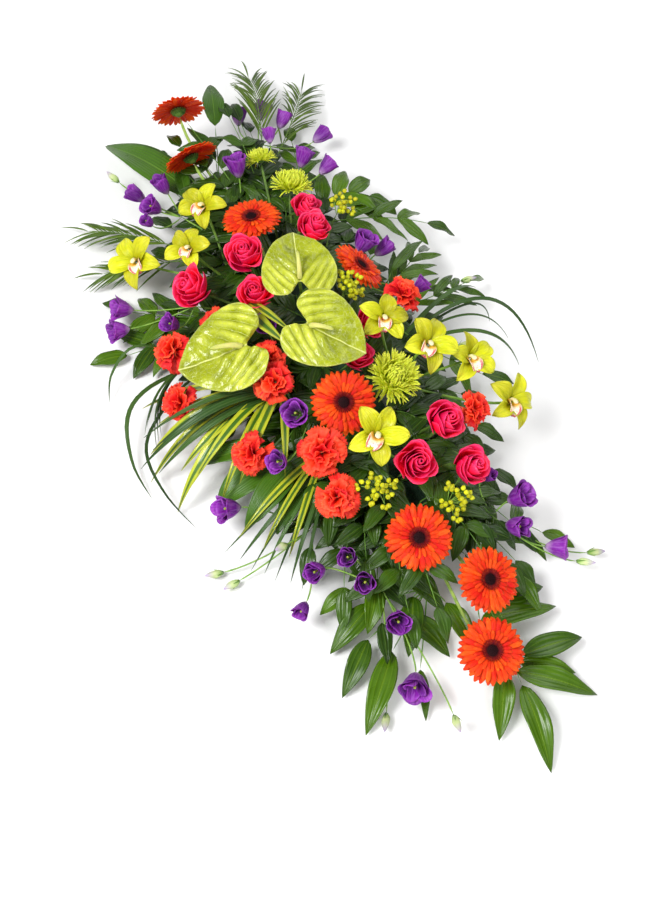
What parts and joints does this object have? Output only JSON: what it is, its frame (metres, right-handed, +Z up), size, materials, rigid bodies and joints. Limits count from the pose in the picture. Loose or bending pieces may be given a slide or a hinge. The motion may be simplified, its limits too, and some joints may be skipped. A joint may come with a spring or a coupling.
{
  "type": "casket spray",
  "caption": "Long, low casket spray of mixed bright flowers and trailing foliage set in floral foam in a shallow tray, tapering to both ends.",
  "frame": {"origin": "centre of the underside of the tray, on the surface the spray stands on", "axes": "+X along the spray towards its foot end, +Y across it, +Z up"},
  "size_m": [1.6899, 0.8453, 0.3192],
  "materials": {
    "tray": "satin",
    "foam": "matte",
    "tape": "satin",
    "gerbera": "matte",
    "anthurium": "gloss",
    "chrysanthemum": "matte",
    "orchid": "satin",
    "rose": "matte",
    "carnation": "matte",
    "lisianthus": "matte",
    "hypericum": "satin",
    "palm": "satin",
    "broad_leaf": "gloss",
    "variegated_leaf": "satin",
    "grass": "satin",
    "ruscus": "satin"
  },
  "bodies": {
    "root": {"tray": "tray", "foam_brick_1": "foam", "foam_brick_2": "foam", "foam_brick_3": "foam", "anchor_tape_1": "tape", "anchor_tape_2": "tape", "gerbera_1": "gerbera", "gerbera_2": "gerbera", "gerbera_3": "gerbera", "gerbera_4": "gerbera", "gerbera_5": "gerbera", "gerbera_6": "gerbera", "gerbera_7": "gerbera", "gerbera_8": "gerbera", "anthurium_1": "anthurium", "anthurium_2": "anthurium", "anthurium_3": "anthurium", "chrysanthemum_1": "chrysanthemum", "chrysanthemum_2": "chrysanthemum", "chrysanthemum_3": "chrysanthemum", "orchids_1": "orchid", "orchids_2": "orchid", "orchids_3": "orchid", "roses_1": "rose", "roses_2": "rose", "roses_3": "rose", "roses_4": "rose", "roses_5": "rose", "roses_6": "rose", "carnations_1": "carnation", "carnations_2": "carnation", "carnations_3": "carnation", "carnations_4": "carnation", "carnations_5": "carnation", "lisianthus_1": "lisianthus", "lisianthus_2": "lisianthus", "lisianthus_3": "lisianthus", "lisianthus_4": "lisianthus", "lisianthus_5": "lisianthus", "lisianthus_6": "lisianthus", "lisianthus_7": "lisianthus", "lisianthus_8": "lisianthus", "lisianthus_9": "lisianthus", "lisianthus_10": "lisianthus", "hypericum_1": "hypericum", "hypericum_2": "hypericum", "hypericum_3": "hypericum", "hypericum_4": "hypericum", "palm_fronds_1": "palm", "palm_fronds_2": "palm", "aspidistra_1": "broad_leaf", "aspidistra_2": "broad_leaf", "variegated_straps": "variegated_leaf", "grass_right": "grass", "grass_left": "grass", "ruscus_1": "ruscus", "ruscus_2": "ruscus", "ruscus_3": "ruscus", "ruscus_4": "ruscus", "ruscus_5": "ruscus"}
  },
  "joints": []
}
